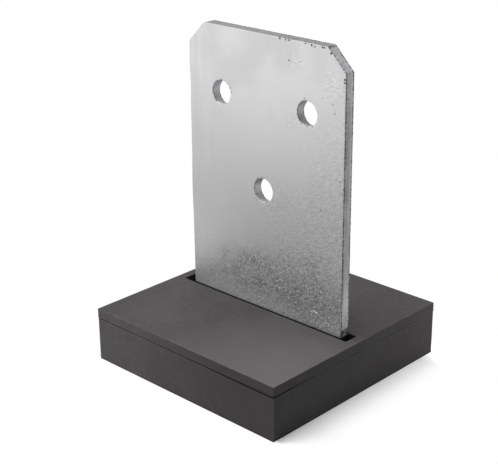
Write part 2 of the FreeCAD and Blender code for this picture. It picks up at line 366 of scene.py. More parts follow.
def rounded_ring(corners, step):
    """Points and outward normals round a convex outline, from its corners as (x, z, radius)."""
    points, normals = [], []
    count = len(corners)
    places = [Vector(corner[:2]) for corner in corners]
    radii = [corner[2] for corner in corners]
    runs = [(places[(i + 1) % count] - place).normalized() for i, place in enumerate(places)]
    turns = [runs[i - 1].angle(runs[i]) for i in range(count)]
    for i, (corner, radius, turn) in enumerate(zip(places, radii, turns)):
        before, after = runs[i - 1], runs[i]
        centre = corner - before * radius * math.tan(turn / 2)
        centre += Vector((-before.y, before.x)) * radius
        steps = max(2, round(radius * turn / step))
        for k in range(steps + 1):
            direction = Matrix.Rotation(turn * k / steps, 2) @ Vector((before.y, -before.x))
            points.append(centre + direction * radius)
            normals.append(direction)
        n = (i + 1) % count
        start = points[-1]
        end = places[n] - after * radii[n] * math.tan(turns[n] / 2)
        pieces = max(1, round((end - start).length / step))
        for k in range(1, pieces):
            points.append(start.lerp(end, k / pieces))
            normals.append(Vector((after.y, -after.x)))
    return np.array(points), np.array(normals)


def hole_ring(centre, radius, step):
    """Points round a hole, with normals that point into the opening, away from the steel."""
    count = max(HOLE_POINTS, round(2 * math.pi * radius / step))
    angles = np.arange(count) * -2 * math.pi / count
    direction = np.stack([np.cos(angles), np.sin(angles)], 1)
    return centre + direction * radius, -direction


def face_points(boundary, step):
    """The points of a face: those of its boundary, even ones between, and finer ones in each pit."""
    rim = kdtree.KDTree(len(boundary))
    for i, point in enumerate(boundary):
        rim.insert((*point, 0), i)
    rim.balance()
    points = [Vector(point) for point in boundary]
    pits = [(x * MM, z * MM, radius * PIT_REACH * MM) for x, z, radius, _ in FRONT_PITS]
    for x, z in hexagonal(boundary.min(0), boundary.max(0), step):
        clear = all(math.hypot(x - a, z - b) > reach + step / 2 for a, b, reach in pits)
        if clear and rim.find((x, z, 0))[2] > step * RIM_CLEARANCE:
            points.append(Vector((x, z)))
    fine = PIT_STEP * MM
    for a, b, reach in pits:
        for x, z in hexagonal((a - reach, b - reach), (a + reach, b + reach), fine):
            last = points[-LAST_POINTS:]
            clear = all(math.hypot(x - p.x, z - p.y) > fine * PIT_CLEARANCE for p in last)
            inside = math.hypot(x - a, z - b) < reach
            if clear and inside and rim.find((x, z, 0))[2] > fine * RIM_CLEARANCE:
                points.append(Vector((x, z)))
    return points


def fill_face(rings, inset, step):
    """Fills the plate's face with near-equal triangles inside its outline and round its holes.

    Gives the points, the triangles, and which point each ring's points became.
    """
    loops = [points - normals * inset for points, normals in rings]
    boundary = np.concatenate(loops)
    starts = [sum(len(loop) for loop in loops[:i]) for i in range(len(loops))]
    edges = [
        (start + k, start + (k + 1) % len(loop))
        for start, loop in zip(starts, loops) for k in range(len(loop))
    ]
    made = delaunay_2d_cdt(face_points(boundary, step), edges, [], 1, 1e-9)
    flat, triangles = np.array(made[0]), np.array(made[2])
    middles = flat[triangles].mean(1)
    keep = inside_outline(middles, loops[0])
    for hole in loops[1:]:
        centre = hole.mean(0)
        keep &= np.linalg.norm(middles - centre, axis=1) > np.linalg.norm(hole[0] - centre)
    found = {old: new for new, olds in enumerate(made[3]) for old in olds}
    where = [[found[start + k] for k in range(len(loop))] for start, loop in zip(starts, loops)]
    return drop_unused(flat, triangles[keep], where)


def hexagonal(low, high, step):
    """Points of an even pattern of triangles that fills a rectangle."""
    for row, z in enumerate(np.arange(low[1] + step, high[1], step * math.sqrt(3) / 2)):
        for x in np.arange(low[0] + step * (0.5 + 0.5 * (row % 2)), high[0], step):
            yield x, z


def inside_outline(points, outline):
    """Which points lie inside a convex outline that runs anticlockwise."""
    inside = np.ones(len(points), bool)
    for start, end in zip(outline, np.roll(outline, -1, 0)):
        run = end - start
        inside &= run[0] * (points[:, 1] - start[1]) - run[1] * (points[:, 0] - start[0]) > -1e-12
    return inside


def drop_unused(flat, triangles, where):
    """Leaves out the points that no triangle uses, such as those inside a hole."""
    used = np.unique(triangles)
    renumber = np.full(len(flat), -1)
    renumber[used] = np.arange(len(used))
    return flat[used], renumber[triangles], [renumber[ring] for ring in where]


def rim_profile(radius, front, back):
    """Steps round a rim from the front face to the back: (how far in from the rim, y, arris).

    The arris is 1 at the edges of the wall, where nicks and dross gather, and is gone a fifth of
    the way across it.
    """
    near = []
    for k in range(1, ARC_STEPS + 1):
        angle = math.pi / 2 * (k / ARC_STEPS)
        depth = radius * (1 - math.cos(angle))
        near.append((radius * (1 - math.sin(angle)), front + depth, k / ARC_STEPS))
    far = [(inset, back - (y - front), arris) for inset, y, arris in reversed(near)]
    start, run = near[-1][1], far[0][1] - near[-1][1]
    wall = [(0.0, start + run * share, max(0.0, 2.5 * abs(2 * share - 1) - 1.5)) for share in WALL_ROWS]
    return near + wall + far


def plate_mesh(settings):
    """The knife plate with rounded rims, fine enough to carry the zinc's unevenness.

    Gives the points, the faces, and for each point its arris and whether it is on a cut edge.
    """
    low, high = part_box("knife_plate")
    rings = plate_rings(settings)
    flat, triangles, where = fill_face(rings, settings.edge_rounding, settings.mesh_step)
    count = len(flat)
    vertices = [
        np.stack([flat[:, 0], np.full(count, y), flat[:, 1]], 1) for y in (low.y, high.y)
    ]
    arris = [np.zeros(2 * count)]
    faces = [tuple(t) for t in triangles.tolist()]
    faces += [tuple(count + v for v in reversed(t)) for t in triangles.tolist()]
    total = 2 * count
    for (points, normals), ring in zip(rings, where):
        size = len(points)
        rows = [ring.tolist()]
        for inset, y, depth in rim_profile(settings.edge_rounding, low.y, high.y):
            place = points - normals * inset
            vertices.append(np.stack([place[:, 0], np.full(size, y), place[:, 1]], 1))
            arris.append(np.full(size, depth))
            rows.append(list(range(total, total + size)))
            total += size
        rows.append((count + ring).tolist())
        for upper, lower in zip(rows, rows[1:]):
            for k in range(size):
                n = (k + 1) % size
                faces.append((upper[k], lower[k], lower[n], upper[n]))
    cut = np.arange(total) >= 2 * count
    return np.concatenate(vertices), faces, np.concatenate(arris), cut


def fall_off(distance, reach):
    """1 close by, 0 past the reach, and smooth in between."""
    share = min(1.0, max(0.0, 1 - distance / reach))
    return share * share * (3 - 2 * share)


def rim_dross(place, low, high):
    """How much dross lines the arris here: most down the right side, some along the top and holes."""
    at_right = place.x > high.x - SIDE_ZONE * MM and place.z < high.z - 0.6 * MM
    if at_right and place.y < 0:
        return 0.6 - 0.3 * (place.z - 50 * MM) / (140 * MM)
    if at_right:
        return 0.4 if place.z > high.z - 40 * MM else 0.34
    if place.z > high.z - 1 * MM:
        clustered = any(start * MM < place.x < end * MM for start, end in TOP_DROSS)
        return 0.3 if clustered else -0.12
    if place.x < low.x + SIDE_ZONE * MM:
        return -0.3
    return 0.08 if place.y < 0 and place.x > 20 * MM else -0.2


def rim_wear(place, low, high):
    """How deep the nicks bite at an arris, and how dark the dross in them is, as shares."""
    amount = 1.5 * noise.noise(place * per(GRIT) + Vector((3.1, 7.7, 1.3)))
    amount += 0.4 * noise.noise(place * per(STREAKS))
    amount += rim_dross(place, low, high)
    return min(1.0, max(0.0, amount - 0.1) * 1.5), min(1.0, max(0.0, amount) * 2.2)


def dark_above_slot(place, cover_top):
    """How dark the right edge is made just above the slot."""
    if place.x <= 0 or place.z >= cover_top + SLOT_DARK_ZONE * MM:
        return 0.0
    amount = 0.6 + noise.noise(place * per(SLOT_DARK_REPEAT))
    return min(1.0, amount * fall_off(place.z - cover_top, SLOT_DARK_ZONE * MM) * 1.5)


def face_pits(place):
    """How deep in the pits of the front face a place is, and how dark it is there, as shares."""
    depth, dark = 0.0, 0.0
    for x, z, radius, tone in FRONT_PITS:
        share = fall_off(math.hypot(place.x - x * MM, place.z - z * MM), radius * PIT_REACH * MM)
        depth += share
        dark = max(dark, tone * share)
    return depth, dark


def peel_share(x, z):
    """How much the zinc is pebbled at a place on a face: most at the lower right, none top left."""
    slope = x / (60 * MM) - (z - 70 * MM) / (90 * MM)
    share = 0.85 * fall_off(1.0 - slope, 1.6)
    for patch_x, patch_z, reach in PEBBLED_PATCHES:
        away = math.hypot(x - patch_x * MM, z - patch_z * MM)
        share = max(share, 0.6 * fall_off(away, reach * MM))
    return share


def pitting_share(x, z, top, holes):
    """How many dark specks there are: along the top's right half, round the holes, down the right."""
    share = 0.85 * fall_off(top - z, 2.4 * MM) * fall_off(abs(x - 28 * MM), 20 * MM)
    share = max(share, 0.015 * fall_off(max(0.0, 56 * MM - x), 24 * MM))
    for centre_x, centre_z, radius in holes:
        away = abs(math.hypot(x - centre_x, z - centre_z) - radius)
        share = max(share, 0.12 * fall_off(away, HOLE_ZONE * MM))
    return share


def hole_foot(place, holes, low, high):
    """For a place by a hole: the outward direction, how far the hole flares, and its lower share.

    A hole is broken wider at the rear face, at its foot and to the left.
    """
    for centre_x, centre_z, radius in holes:
        spoke = Vector((place.x - centre_x, 0, place.z - centre_z))
        away = spoke.length
        if away < radius + HOLE_ZONE * MM:
            spoke.normalize()
            leaning = max(0.0, spoke.x * -0.5 + spoke.z * -0.87)
            depth = fall_off(high.y - place.y, high.y - low.y)
            flare = leaning * depth * fall_off(away - radius, HOLE_ZONE * MM)
            return spoke, flare, 0.5 - 0.5 * spoke.z
    return Vector((0, 0, 0)), 0.0, 0.0


def left_sway(place, low):
    """How far the left edge, which was cut a little unevenly, stands out here."""
    sway = sum(depth * fall_off(abs(place.z - z * MM), reach * MM) for z, reach, depth in LEFT_SWELLS)
    return sway * MM * fall_off(place.x - low.x, SWELL_ZONE * MM)


def weather_plate(mesh, arris, cut, settings):
    """Moves the plate's points as drained zinc lies, nicks and pits it, and marks it for its finish.

    The marks are shares: where the cut edges are, how low in a hole a place is, how much dross is
    caught, how pebbled the zinc is, and how many dark specks it has.
    """
    low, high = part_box("knife_plate")
    cover_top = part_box("cover_plate")[1].z
    holes = bores()
    marks = []
    normals = [vertex.normal.copy() for vertex in mesh.vertices]
    for i, (vertex, normal) in enumerate(zip(mesh.vertices, normals)):
        place = vertex.co.copy()
        peel = peel_share(place.x, place.z)
        pebble = noise.noise(place * per(PEBBLES)) + 0.6 * noise.noise(place * per(PEBBLES / 2))
        swell = settings.zinc_wave * noise.noise(place * per(WAVES))
        swell += settings.peel_depth * pebble * (0.15 + peel)
        dark = 0.0
        if arris[i] > 0:
            bite, dross = rim_wear(place, low, high)
            swell -= settings.nick_depth * bite * arris[i]
            dark = dross * arris[i]
        if cut[i]:
            dark = max(dark, dark_above_slot(place, cover_top))
        if normal.y < -0.8:
            depth, tone = face_pits(place)
            swell -= PIT_DEPTH * MM * depth
            dark = max(dark, tone)
        spoke, flare, lower_share = hole_foot(place, holes, low, high)
        vertex.co = place + normal * swell + spoke * settings.hole_flare * flare
        vertex.co.x -= left_sway(place, low)
        pitting = pitting_share(place.x, place.z, high.z, holes)
        marks.append((float(cut[i]), lower_share * float(cut[i]), dark, peel, pitting))
    for name, values in zip(MARKS, zip(*marks)):
        mesh.attributes.new(name, "FLOAT", "POINT").data.foreach_set("value", list(values))


def new_piece(name, mesh):
    """Links a mesh as a piece of the part that rides on its body."""
    piece = bpy.data.objects.new(name, mesh)
    bpy.context.scene.collection.objects.link(piece)
    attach(piece, BODY)
    return piece


def only_material(thing, material):
    """Gives a piece one material, in its only slot."""
    thing.data.materials.clear()
    thing.data.materials.append(material)


def new_material(name):
    """An empty node material and its tree."""
    material = bpy.data.materials.new(name)
    material.use_nodes = True
    material.node_tree.nodes.clear()
    return material, material.node_tree


def overlap(tree, *parts):
    """How far a place lies in several parts of a piece at once: the product of their shares.

    A part is a share already found, or the inputs of a soft range: what is measured, where the part
    starts and ends, and the shares there where they aren't 0 and 1.
    """
    shares = [put(tree, SOFT_RANGE, part) if isinstance(part, dict) else part for part in parts]
    common = shares[0]
    for share in shares[1:]:
        common = put(tree, TIMES, {0: common, 1: share})
    return common


def zinc_places(tree):
    """Where a place on the steel is, what is marked there, and the patterns of its finish."""
    place = put(tree, "ShaderNodeTexCoord", out="Object")
    x, y, z = put(tree, "ShaderNodeSeparateXYZ", {0: place}).outputs
    at = SimpleNamespace(place=place, x=x, y=y, z=z)
    for name in MARKS:
        setattr(at, name, put(tree, "ShaderNodeAttribute", out="Fac", attribute_name=name))
    for name, (repeat, detail, rough) in ZINC_PATTERNS.items():
        values = {"Vector": place, "Scale": per(repeat), "Detail": detail, "Roughness": rough}
        setattr(at, name, put(tree, NOISE, values))
    at.drawn = put(tree, "ShaderNodeMapping", {"Vector": place, "Scale": (1.0, 1.0, 1 / RUN_STRETCH)}, 0)
    slanted = put(tree, "ShaderNodeMapping", {
        "Vector": place, "Rotation": (0.0, math.radians(STROKE_SLANT), 0.0),
        "Scale": (STROKE_STRETCH, 1.0, 1.0),
    }, 0, vector_type="TEXTURE")
    at.strokes = put(tree, NOISE, {"Vector": slanted, "Scale": per(1.1), "Detail": 3.0})
    return at


def zinc_levels(tree, at):
    """How far a place lies in the low part of the zinc, painted darker as a reflection of the black cover,
    and in its mottled foot.

    The clouds make their borders ragged. The low part reaches higher at the right, and the foot
    lower at the left. At the far right the foot is fainter.
    """
    ragged = put(tree, TIMES_PLUS, {0: at.clouds, 1: 60 * MM, 2: -30 * MM})
    level = put(tree, SUM, {0: at.z, 1: ragged})
    rightward = put(tree, LARGER, {0: at.x, 1: 0.0})
    low_level = put(tree, TIMES_PLUS, {0: rightward, 1: -0.22, 2: level})
    leftward = put(tree, SMALLER, {0: at.x, 1: 0.0})
    foot_level = put(tree, TIMES_PLUS, {0: leftward, 1: -0.24, 2: level})
    at.low_part = put(tree, SOFT_RANGE, {0: low_level, 1: 164 * MM, 2: 78 * MM})
    at.foot = overlap(
        tree, {0: foot_level, 1: 82 * MM, 2: 48 * MM}, {0: at.x, 1: 36 * MM, 2: 54 * MM, 3: 1.0, 4: 0.5},
    )


def drained_zinc(tree, at, settings):
    """Clean and dull zinc in soft clouds, with faint upright runs at the left, and darker in the low part as
    a painted reflection of the black cover.
    """
    runs = put(tree, NOISE, {"Vector": at.drawn, "Scale": per(4), "Detail": 3.0})
    at_left = put(tree, SOFT_RANGE, {0: at.x, 1: -25 * MM, 2: -50 * MM, 4: 0.5})
    dull = put(tree, MIX, {0: at_left, 2: at.clouds, 3: runs})
    at.dull = put(tree, SOFT_RANGE, {0: dull, 1: 0.35, 2: 0.65})
    colour = put(tree, TINT, {0: at.dull, 6: settings.zinc, 7: settings.zinc_dull})
    return put(tree, TINT, {0: at.low_part, 6: colour, 7: settings.zinc_low_reflection})


def mottled_foot(tree, at, settings, colour):
    """Pale and dark grains in the foot, calmer at the left and by the slot, where it is paler too."""
    grains = put(tree, TIMES_PLUS, {0: at.strokes, 1: 0.35, 2: at.mottle})
    grains = put(tree, TIMES_PLUS, {0: at.crumbs, 1: 1.8, 2: grains})
    grains = put(tree, SOFT_RANGE, {0: grains, 1: 1.3, 2: 1.86})
    at_left = put(tree, RANGE, {0: at.x, 1: 0.0, 2: -40 * MM, 4: 0.5})
    at.by_slot = put(tree, SOFT_RANGE, {0: at.z, 1: 47 * MM, 2: 37 * MM, 4: 0.6})
    calm = put(tree, LARGER, {0: at_left, 1: at.by_slot})
    grains = put(tree, MIX, {0: calm, 2: grains, 3: 0.5})
    mottled = put(tree, TINT, {0: grains, 6: settings.zinc_foot_pale, 7: settings.zinc_foot})
    colour = put(tree, TINT, {0: at.foot, 6: colour, 7: mottled})
    rightward = put(tree, RANGE, {0: at.x, 1: -50 * MM, 2: 10 * MM, 4: 0.5})
    paler = overlap(tree, {0: at.z, 1: 46 * MM, 2: 33.5 * MM}, rightward)
    return put(tree, TINT, {0: paler, 6: colour, 7: settings.zinc})


def pebbled_shade(tree, at, colour):
    """Painted glints and shade of the pebbled zinc, grain by grain, most in the middle of the foot."""
    relief = put(tree, MIX, {0: 0.5, 2: at.grit, 3: at.strokes})
    # Painted glints and shade: the pebbles' tone lightens and darkens the colour
    tone = put(tree, RANGE, {0: relief, 1: 0.36, 2: 0.64, 3: 0.35, 4: 1.65})
    rightward = put(tree, RANGE, {0: at.x, 1: -40 * MM, 2: 25 * MM, 3: 0.16, 4: 0.36})
    calmer = put(tree, RANGE, {0: at.by_slot, 2: 0.6, 3: 1.0, 4: 0.5})
    far_right = {0: at.x, 1: 34 * MM, 2: 50 * MM, 3: 1.0, 4: 0.5}
    share = overlap(tree, at.foot, rightward, far_right, calmer)
    share = put(tree, TIMES_PLUS, {0: at.peel, 1: 0.42, 2: share})
    return put(tree, SHADE, {0: share, 6: colour, 7: tone})


def painted_glint_specks(tree, at, settings, colour):
    """Painted glints: bright specks at the foot, one to a cell in some of the cells, more of them to the
    right.
    """
    face_place = put(tree, "ShaderNodeCombineXYZ", {0: at.x, 1: at.z}, 0)
    cells = put(tree, CELLS, {"Vector": face_place, "Scale": per(1.2)}, voronoi_dimensions="2D")
    lot = put(tree, "ShaderNodeSeparateColor", {0: cells.outputs["Color"]}, 0)
    drawn_lot = put(tree, RANGE, {0: lot, 1: 0.6, 2: 0.92})
    rightward = put(tree, RANGE, {0: at.x, 1: -30 * MM, 2: 42 * MM, 3: 0.15})
    crowd = put(tree, RANGE, {0: at.mottle, 1: 0.4, 2: 0.56})
    speck = {0: cells.outputs["Distance"], 1: 0.44, 2: 0.18}
    share = overlap(tree, speck, drawn_lot, rightward, crowd, at.foot)
    share = put(tree, RANGE, {0: share, 1: 0.08, 2: 0.5})
    return put(tree, TINT, {0: share, 6: colour, 7: settings.zinc_glint})


def dark_specks(tree, at):
    """Dark specks where the zinc is pitted, one to a cell in some of the cells."""
    cells = put(tree, CELLS, {"Vector": at.place, "Scale": per(1.5)})
    lot = put(tree, "ShaderNodeSeparateColor", {0: cells.outputs["Color"]}, 1)
    drawn_lot = put(tree, MATH, {0: lot, 1: at.pitting}, 0, operation="LESS_THAN")
    return overlap(tree, {0: cells.outputs["Distance"], 1: 0.5, 2: 0.25}, drawn_lot, 0.55)


def edge_dullness_and_light(tree, at):
    """How grey the sheared edges are: most along the top; down the right side less at its ends, where painted
    light brightens its top end and its foot.
    """
    shear = put(tree, NOISE, {"Vector": at.drawn, "Scale": per(1.2), "Detail": 3.0})
    shear = put(tree, SOFT_RANGE, {0: shear, 1: 0.38, 2: 0.68, 4: 0.22})
    # Painted light by height down the right edge: lighter at its top end and at its foot
    duller = overlap(
        tree, {0: at.z, 1: 180 * MM, 2: 140 * MM, 3: 0.12, 4: 0.57},
        {0: at.z, 1: 48 * MM, 2: 75 * MM, 3: 0.42}, {0: at.x, 1: 56 * MM, 2: 57.2 * MM},
    )
    slanted = put(tree, SUM, {0: at.x, 1: at.z})
    cut_corner = {0: slanted, 1: 234.6 * MM, 2: 235.2 * MM, 4: 0.2}
    for span in (cut_corner, {0: at.z, 1: 188.5 * MM, 2: 189.5 * MM}):
        share = put(tree, SOFT_RANGE, span)
        duller = put(tree, LARGER, {0: duller, 1: share})
    return put(tree, SUM, {0: duller, 1: shear})


def sheared_edge(tree, at, settings):
    """Colour of the cut edges, with a burnished band down the right one by its rear arris.

    The walls of the holes carry painted light and shade: darker high up, where they face down, lighter low
    down, where they face up, and a little darker to the right.
    """
    duller = edge_dullness_and_light(tree, at)
    colour = put(tree, TINT, {0: duller, 6: settings.zinc_cut, 7: settings.zinc_sheared})
    band = overlap(
        tree, {0: at.y, 1: 0.5 * MM, 2: 1.3 * MM}, {0: at.y, 1: 2.7 * MM, 2: 2.2 * MM},
        {0: at.x, 1: 40 * MM, 2: 50 * MM, 4: 0.35}, {0: at.z, 1: 90 * MM, 2: 125 * MM, 3: 0.1},
    )
    colour = put(tree, TINT, {0: band, 6: colour, 7: settings.zinc})
    # Painted light and shade on the holes' walls, by how low round the hole they lie
    wall_painted_light = put(tree, RANGE, {0: at.hole_foot, 1: 0.1, 2: 0.95, 3: 0.64, 4: 1.22})
    rightward = put(tree, RANGE, {0: at.x, 1: -20 * MM, 2: 0.0, 3: 1.07, 4: 0.87})
    wall = overlap(tree, wall_painted_light, rightward)
    in_hole = put(tree, RANGE, {0: at.hole_foot, 1: 0.0, 2: 0.02})
    return put(tree, SHADE, {0: in_hole, 6: colour, 7: wall})


def dross_and_slot_shadow(tree, at):
    """Dark dross in nicks, pits and specks, and a painted shadow line where the plate goes down into the
    slot.
    """
    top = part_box("cover_plate")[1].z
    dark = put(tree, SOFT_RANGE, {0: at.dross, 1: 0.05, 2: 0.75, 4: 0.9})
    # Painted shadow where the plate goes down into the slot
    slot_shadow_line = overlap(
        tree, {0: at.z, 1: top + 0.3 * MM, 2: top - 0.1 * MM}, {0: at.z, 1: top - 6 * MM, 2: top - 3 * MM},
    )
    for share in (dark_specks(tree, at), slot_shadow_line):
        dark = put(tree, LARGER, {0: dark, 1: share})
    return dark


def zinc_relief(tree, at):
    """Bump of the pebbled zinc: round pebbles, and over them finer ones drawn into strokes."""
    pebbles = put(tree, TIMES, {0: at.pebble, 1: at.peel})
    coarse = put(tree, "ShaderNodeBump", {"Height": pebbles, "Strength": 0.8, "Distance": 0.09 * MM}, 0)
    strokes = put(tree, SUM, {0: at.fine, 1: at.strokes})
    strokes = put(tree, TIMES, {0: strokes, 1: at.peel})
    return put(tree, "ShaderNodeBump", {
        "Height": strokes, "Strength": 0.8, "Distance": 0.05 * MM, "Normal": coarse,
    }, 0)


def galvanised_steel(settings):
    """Hot-dip galvanised structural steel: rolled plate, sheared, and dipped in molten zinc.

    The zinc drains before it freezes, so the face is satin, softly clouded, with no sharp spangle.
    Where it froze slowly it is pebbled and duller, with painted glints and shade on its pebbles. The
    lower half is painted darker as a reflection of the black cover. The foot that left the bath last is
    mottled, with painted glints as bright specks, and the sheared edges are greyer, with a burnished band
    and painted light at the ends of the right one. A painted shadow line marks where the plate goes into
    the slot.
    """
    material, tree = new_material("hot_dip_galvanised_steel")
    at = zinc_places(tree)
    zinc_levels(tree, at)
    colour = drained_zinc(tree, at, settings)
    colour = mottled_foot(tree, at, settings, colour)
    colour = pebbled_shade(tree, at, colour)
    colour = painted_glint_specks(tree, at, settings, colour)
    edge_colour = sheared_edge(tree, at, settings)
    colour = put(tree, TINT, {0: at.cut_edge, 6: colour, 7: edge_colour})
    colour = put(tree, TINT, {0: dross_and_slot_shadow(tree, at), 6: colour, 7: settings.dross})
    rough = put(tree, RANGE, {0: at.dull, 3: 0.56, 4: 0.6})
    for share, more in ((at.peel, 0.04), (at.cut_edge, 0.1)):
        rough = put(tree, TIMES_PLUS, {0: share, 1: more, 2: rough})
    shader = put(tree, "ShaderNodeBsdfPrincipled", {
        "Base Color": colour, "Metallic": 1.0, "Roughness": rough, "Normal": zinc_relief(tree, at),
    }, 0)
    put(tree, "ShaderNodeOutputMaterial", {"Surface": shader})
    return material


def steel(settings):
    """The galvanised finish, made once and shared."""
    return bpy.data.materials.get("hot_dip_galvanised_steel") or galvanised_steel(settings)


def fresh_zinc(settings):
    """Beads of zinc that froze bright: smoother than the face, so they catch the light as specks."""
    material, tree = new_material("bright_zinc_beads")
    place = put(tree, "ShaderNodeTexCoord", out="Object")
    shade = put(tree, NOISE, {"Vector": place, "Scale": per(1.5)})
    shade = put(tree, RANGE, {0: shade, 1: 0.35, 2: 0.65})
    colour = put(tree, TINT, {0: shade, 6: settings.zinc_bead, 7: settings.zinc_low_reflection})
    rough = put(tree, NOISE, {"Vector": place, "Scale": per(0.6)})
    rough = put(tree, RANGE, {0: rough, 1: 0.3, 2: 0.7, 3: 0.32, 4: 0.5})
    shader = put(tree, "ShaderNodeBsdfPrincipled", {
        "Base Color": colour, "Metallic": 1.0, "Roughness": rough,
    }, 0)
    put(tree, "ShaderNodeOutputMaterial", {"Surface": shader})
    return material


def square_places(tree):
    """Where a place is, and how far out it is from the middle of the square base, side to side."""
    place = put(tree, "ShaderNodeTexCoord", out="Object")
    x, y, z = put(tree, "ShaderNodeSeparateXYZ", {0: place}).outputs
    across = put(tree, MATH, {0: x}, 0, operation="ABSOLUTE")
    along = put(tree, MATH, {0: y}, 0, operation="ABSOLUTE")
    outermost = put(tree, LARGER, {0: across, 1: along})
    return SimpleNamespace(place=place, y=y, z=z, across=across, along=along, outermost=outermost)


def moulding_places(tree):
    """Where a place is on the mouldings, how far from the cover's front corner, and its patterns."""
    at = square_places(tree)
    at.side, at.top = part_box("cover_plate")[1].x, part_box("cover_plate")[1].z
    at.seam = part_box("standoff_body")[1].z
    corner = (at.side, -at.side, at.top)
    at.away = put(tree, "ShaderNodeVectorMath", {0: at.place, 1: corner}, 1, operation="DISTANCE")
    at.behind = put(tree, SOFT_RANGE, {0: at.y, 1: -60 * MM, 2: -34 * MM})
    at.clouds = put(tree, NOISE, {"Vector": at.place, "Scale": per(30), "Detail": 4.0})
    rub = put(tree, NOISE, {"Vector": at.place, "Scale": per(11)})
    at.rub = put(tree, SOFT_RANGE, {0: rub, 1: 0.35, 2: 0.6})
    return at


def clouded_black(tree, at, settings):
    """Black that glass fibre clouds a little, with a painted sheen that pales the cover's top and front
    towards its front corner.
    """
    fibres = put(tree, NOISE, {"Vector": at.place, "Scale": per(3), "Detail": 4.0})
    shade = put(tree, MIX, {0: 0.35, 2: at.clouds, 3: fibres})
    shade = put(tree, SOFT_RANGE, {0: shade, 1: 0.36, 2: 0.64})
    colour = put(tree, TINT, {0: shade, 6: settings.black, 7: settings.black_pale})
    on_top = put(tree, SOFT_RANGE, {0: at.z, 1: at.top - 0.3 * MM, 2: at.top - 0.1 * MM})
    in_front = put(tree, SOFT_RANGE, {0: at.y, 1: -at.side + 0.5 * MM, 2: -at.side + 0.2 * MM, 4: 0.5})
    facing = put(tree, LARGER, {0: on_top, 1: in_front})
    # Painted sheen, strongest at the front corner
    sheen = overlap(tree, {0: at.away, 1: 95 * MM, 2: 5 * MM}, facing)
    return put(tree, TINT, {0: sheen, 6: colour, 7: settings.black_painted_sheen})


def rubbed_edges(tree, at):
    """Painted highlights along edges that catch the light, broken into patches: the cover's top edge, the
    tray's rim, and the tray's corners.
    """
    top = overlap(tree, {0: at.z, 1: at.top - 0.4 * MM, 2: at.top - 0.1 * MM, 4: 0.3}, at.rub)
    rim = overlap(
        tree, {0: at.z, 1: at.seam - 1.1 * MM, 2: at.seam - 0.8 * MM},
        {0: at.z, 1: at.seam - 0.3 * MM, 2: at.seam - 0.5 * MM, 4: 0.3}, at.rub,
    )
    level = put(tree, LARGER, {0: top, 1: rim})
    edge = overlap(tree, {0: at.outermost, 1: at.side - 0.7 * MM, 2: at.side - 0.3 * MM}, level)
    innermost = put(tree, SMALLER, {0: at.across, 1: at.along})
    corner = overlap(
        tree, {0: innermost, 1: at.side - 0.8 * MM, 2: at.side - 0.4 * MM, 4: 0.5},
        {0: at.z, 1: at.seam - 0.4 * MM, 2: at.seam - 0.8 * MM},
    )
    return put(tree, LARGER, {0: edge, 1: corner})


def seam_fill_light(tree, at):
    """Painted light that fills the shade of the groove at the seam, but for its part by the front."""
    return overlap(
        tree, {0: at.z, 1: at.seam - 0.3 * MM, 2: at.seam - 0.1 * MM},
        {0: at.z, 1: at.seam + 0.6 * MM, 2: at.seam + 0.4 * MM}, at.behind, 0.5,
    )


def seam_shadow(tree, at):
    """Painted shade at the tray's foot, and in the groove by the front, painted wider near the front corner.
    """
    foot = put(tree, SOFT_RANGE, {0: at.z, 1: 1.1 * MM, 2: 0.5 * MM, 4: 0.6})
    # The painted shade in the groove reaches wider near the front corner
    shade_widening = put(tree, SOFT_RANGE, {0: at.away, 1: 60 * MM, 2: 20 * MM, 4: 0.6 * MM})
    level = put(tree, SUM, {0: at.z, 1: shade_widening})
    in_front = put(tree, MATH, {0: 1.0, 1: at.behind}, 0, operation="SUBTRACT")
    groove = overlap(
        tree, {0: level, 1: at.seam - 0.42 * MM, 2: at.seam - 0.3 * MM},
        {0: at.z, 1: at.seam + 0.2 * MM, 2: at.seam + 0.1 * MM},
        {0: at.away, 1: 20 * MM, 2: 90 * MM, 3: 1.0, 4: 0.8}, in_front,
    )
    return put(tree, LARGER, {0: foot, 1: groove})


def black_moulding(settings):
    """Glass-filled black polyamide, injection moulded in a spark-eroded steel mould.

    The mould leaves an even matt grain. The real grain is about 0.1 mm, drawn wider so it shows.
    Its pits hold back part of the mirrored light. Near the skin a little glass fibre clouds the
    black. Painted highlights pale the cover's top edge, the tray's rim and the tray's corners, painted
    light fills the groove at the seam behind the front, and painted shade darkens the groove by the
    front and the tray's foot. A painted sheen pales the cover near its front corner.
    """
    material, tree = new_material("moulded_glass_filled_polyamide")
    at = moulding_places(tree)
    colour = clouded_black(tree, at, settings)
    for share, over in (
        (rubbed_edges(tree, at), settings.black_painted_light),
        (seam_fill_light(tree, at), settings.black_painted_light),
        (seam_shadow(tree, at), settings.seam_and_foot_shade),
    ):
        colour = put(tree, TINT, {0: share, 6: colour, 7: over})
    grain = put(tree, NOISE, {"Vector": at.place, "Scale": 1 / settings.grain, "Detail": 3.0})
    bump = put(tree, "ShaderNodeBump", {"Height": grain, "Strength": 0.55, "Distance": 0.05 * MM}, 0)
    rough = put(tree, RANGE, {0: at.clouds, 1: 0.3, 2: 0.7, 3: 0.62, 4: 0.7})
    shader = put(tree, "ShaderNodeBsdfPrincipled", {
        "Base Color": colour, "Roughness": rough, "Normal": bump, "IOR": 1.5, "Specular IOR Level": 0.15,
    }, 0)
    put(tree, "ShaderNodeOutputMaterial", {"Surface": shader})
    return material


def seen_or_mirrored(tree, rays):
    """1 for the rays that a camera, a mirroring surface or glass sends out, and 0 for others."""
    seen = rays["Is Camera Ray"]
    for kind in ("Is Glossy Ray", "Is Transmission Ray"):
        seen = put(tree, LARGER, {0: seen, 1: rays[kind]})
    return seen


